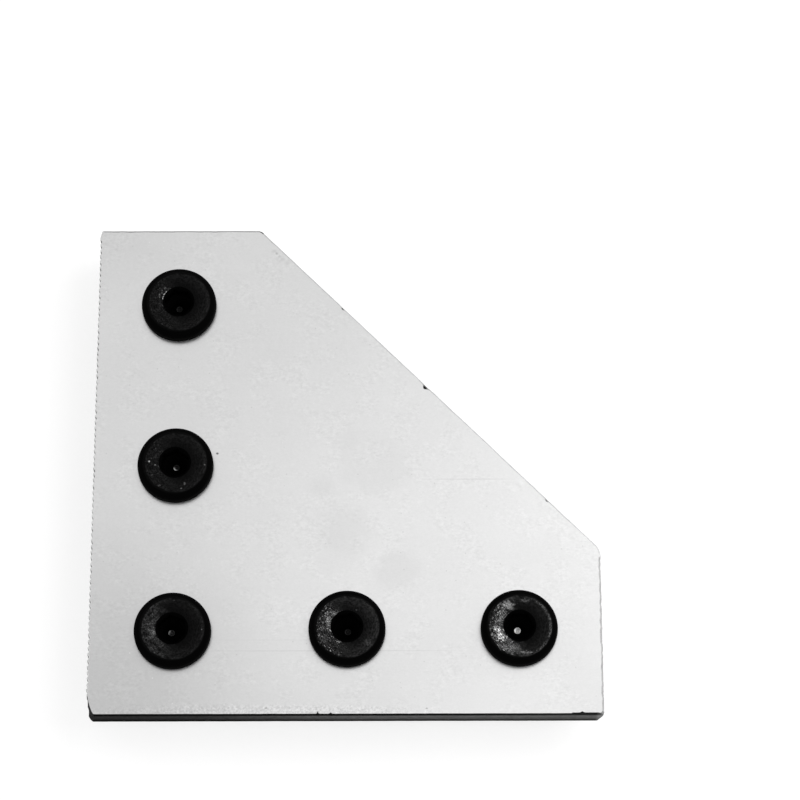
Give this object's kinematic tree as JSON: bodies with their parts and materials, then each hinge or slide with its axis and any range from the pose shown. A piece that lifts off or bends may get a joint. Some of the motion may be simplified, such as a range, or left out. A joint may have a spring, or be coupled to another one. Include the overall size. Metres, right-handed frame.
{
  "type": "corner joining plate",
  "caption": "Flat right-angle joining plate with a slanted inner edge and low-head socket screws, for bolting slotted bars together at a corner.",
  "frame": {"origin": "on the corner hole's axis, at the plate's back face", "axes": "+X along the level leg, +Y along the upright leg, +Z out of the face that the screw heads sit on"},
  "size_m": [0.0596, 0.0596, 0.0098],
  "materials": {
    "plate": "satin",
    "screw": "satin"
  },
  "bodies": {
    "root": {"joining_plate": "plate", "screw_corner": "screw", "screw_level_middle": "screw", "screw_level_end": "screw", "screw_upright_middle": "screw", "screw_upright_end": "screw"}
  },
  "joints": []
}
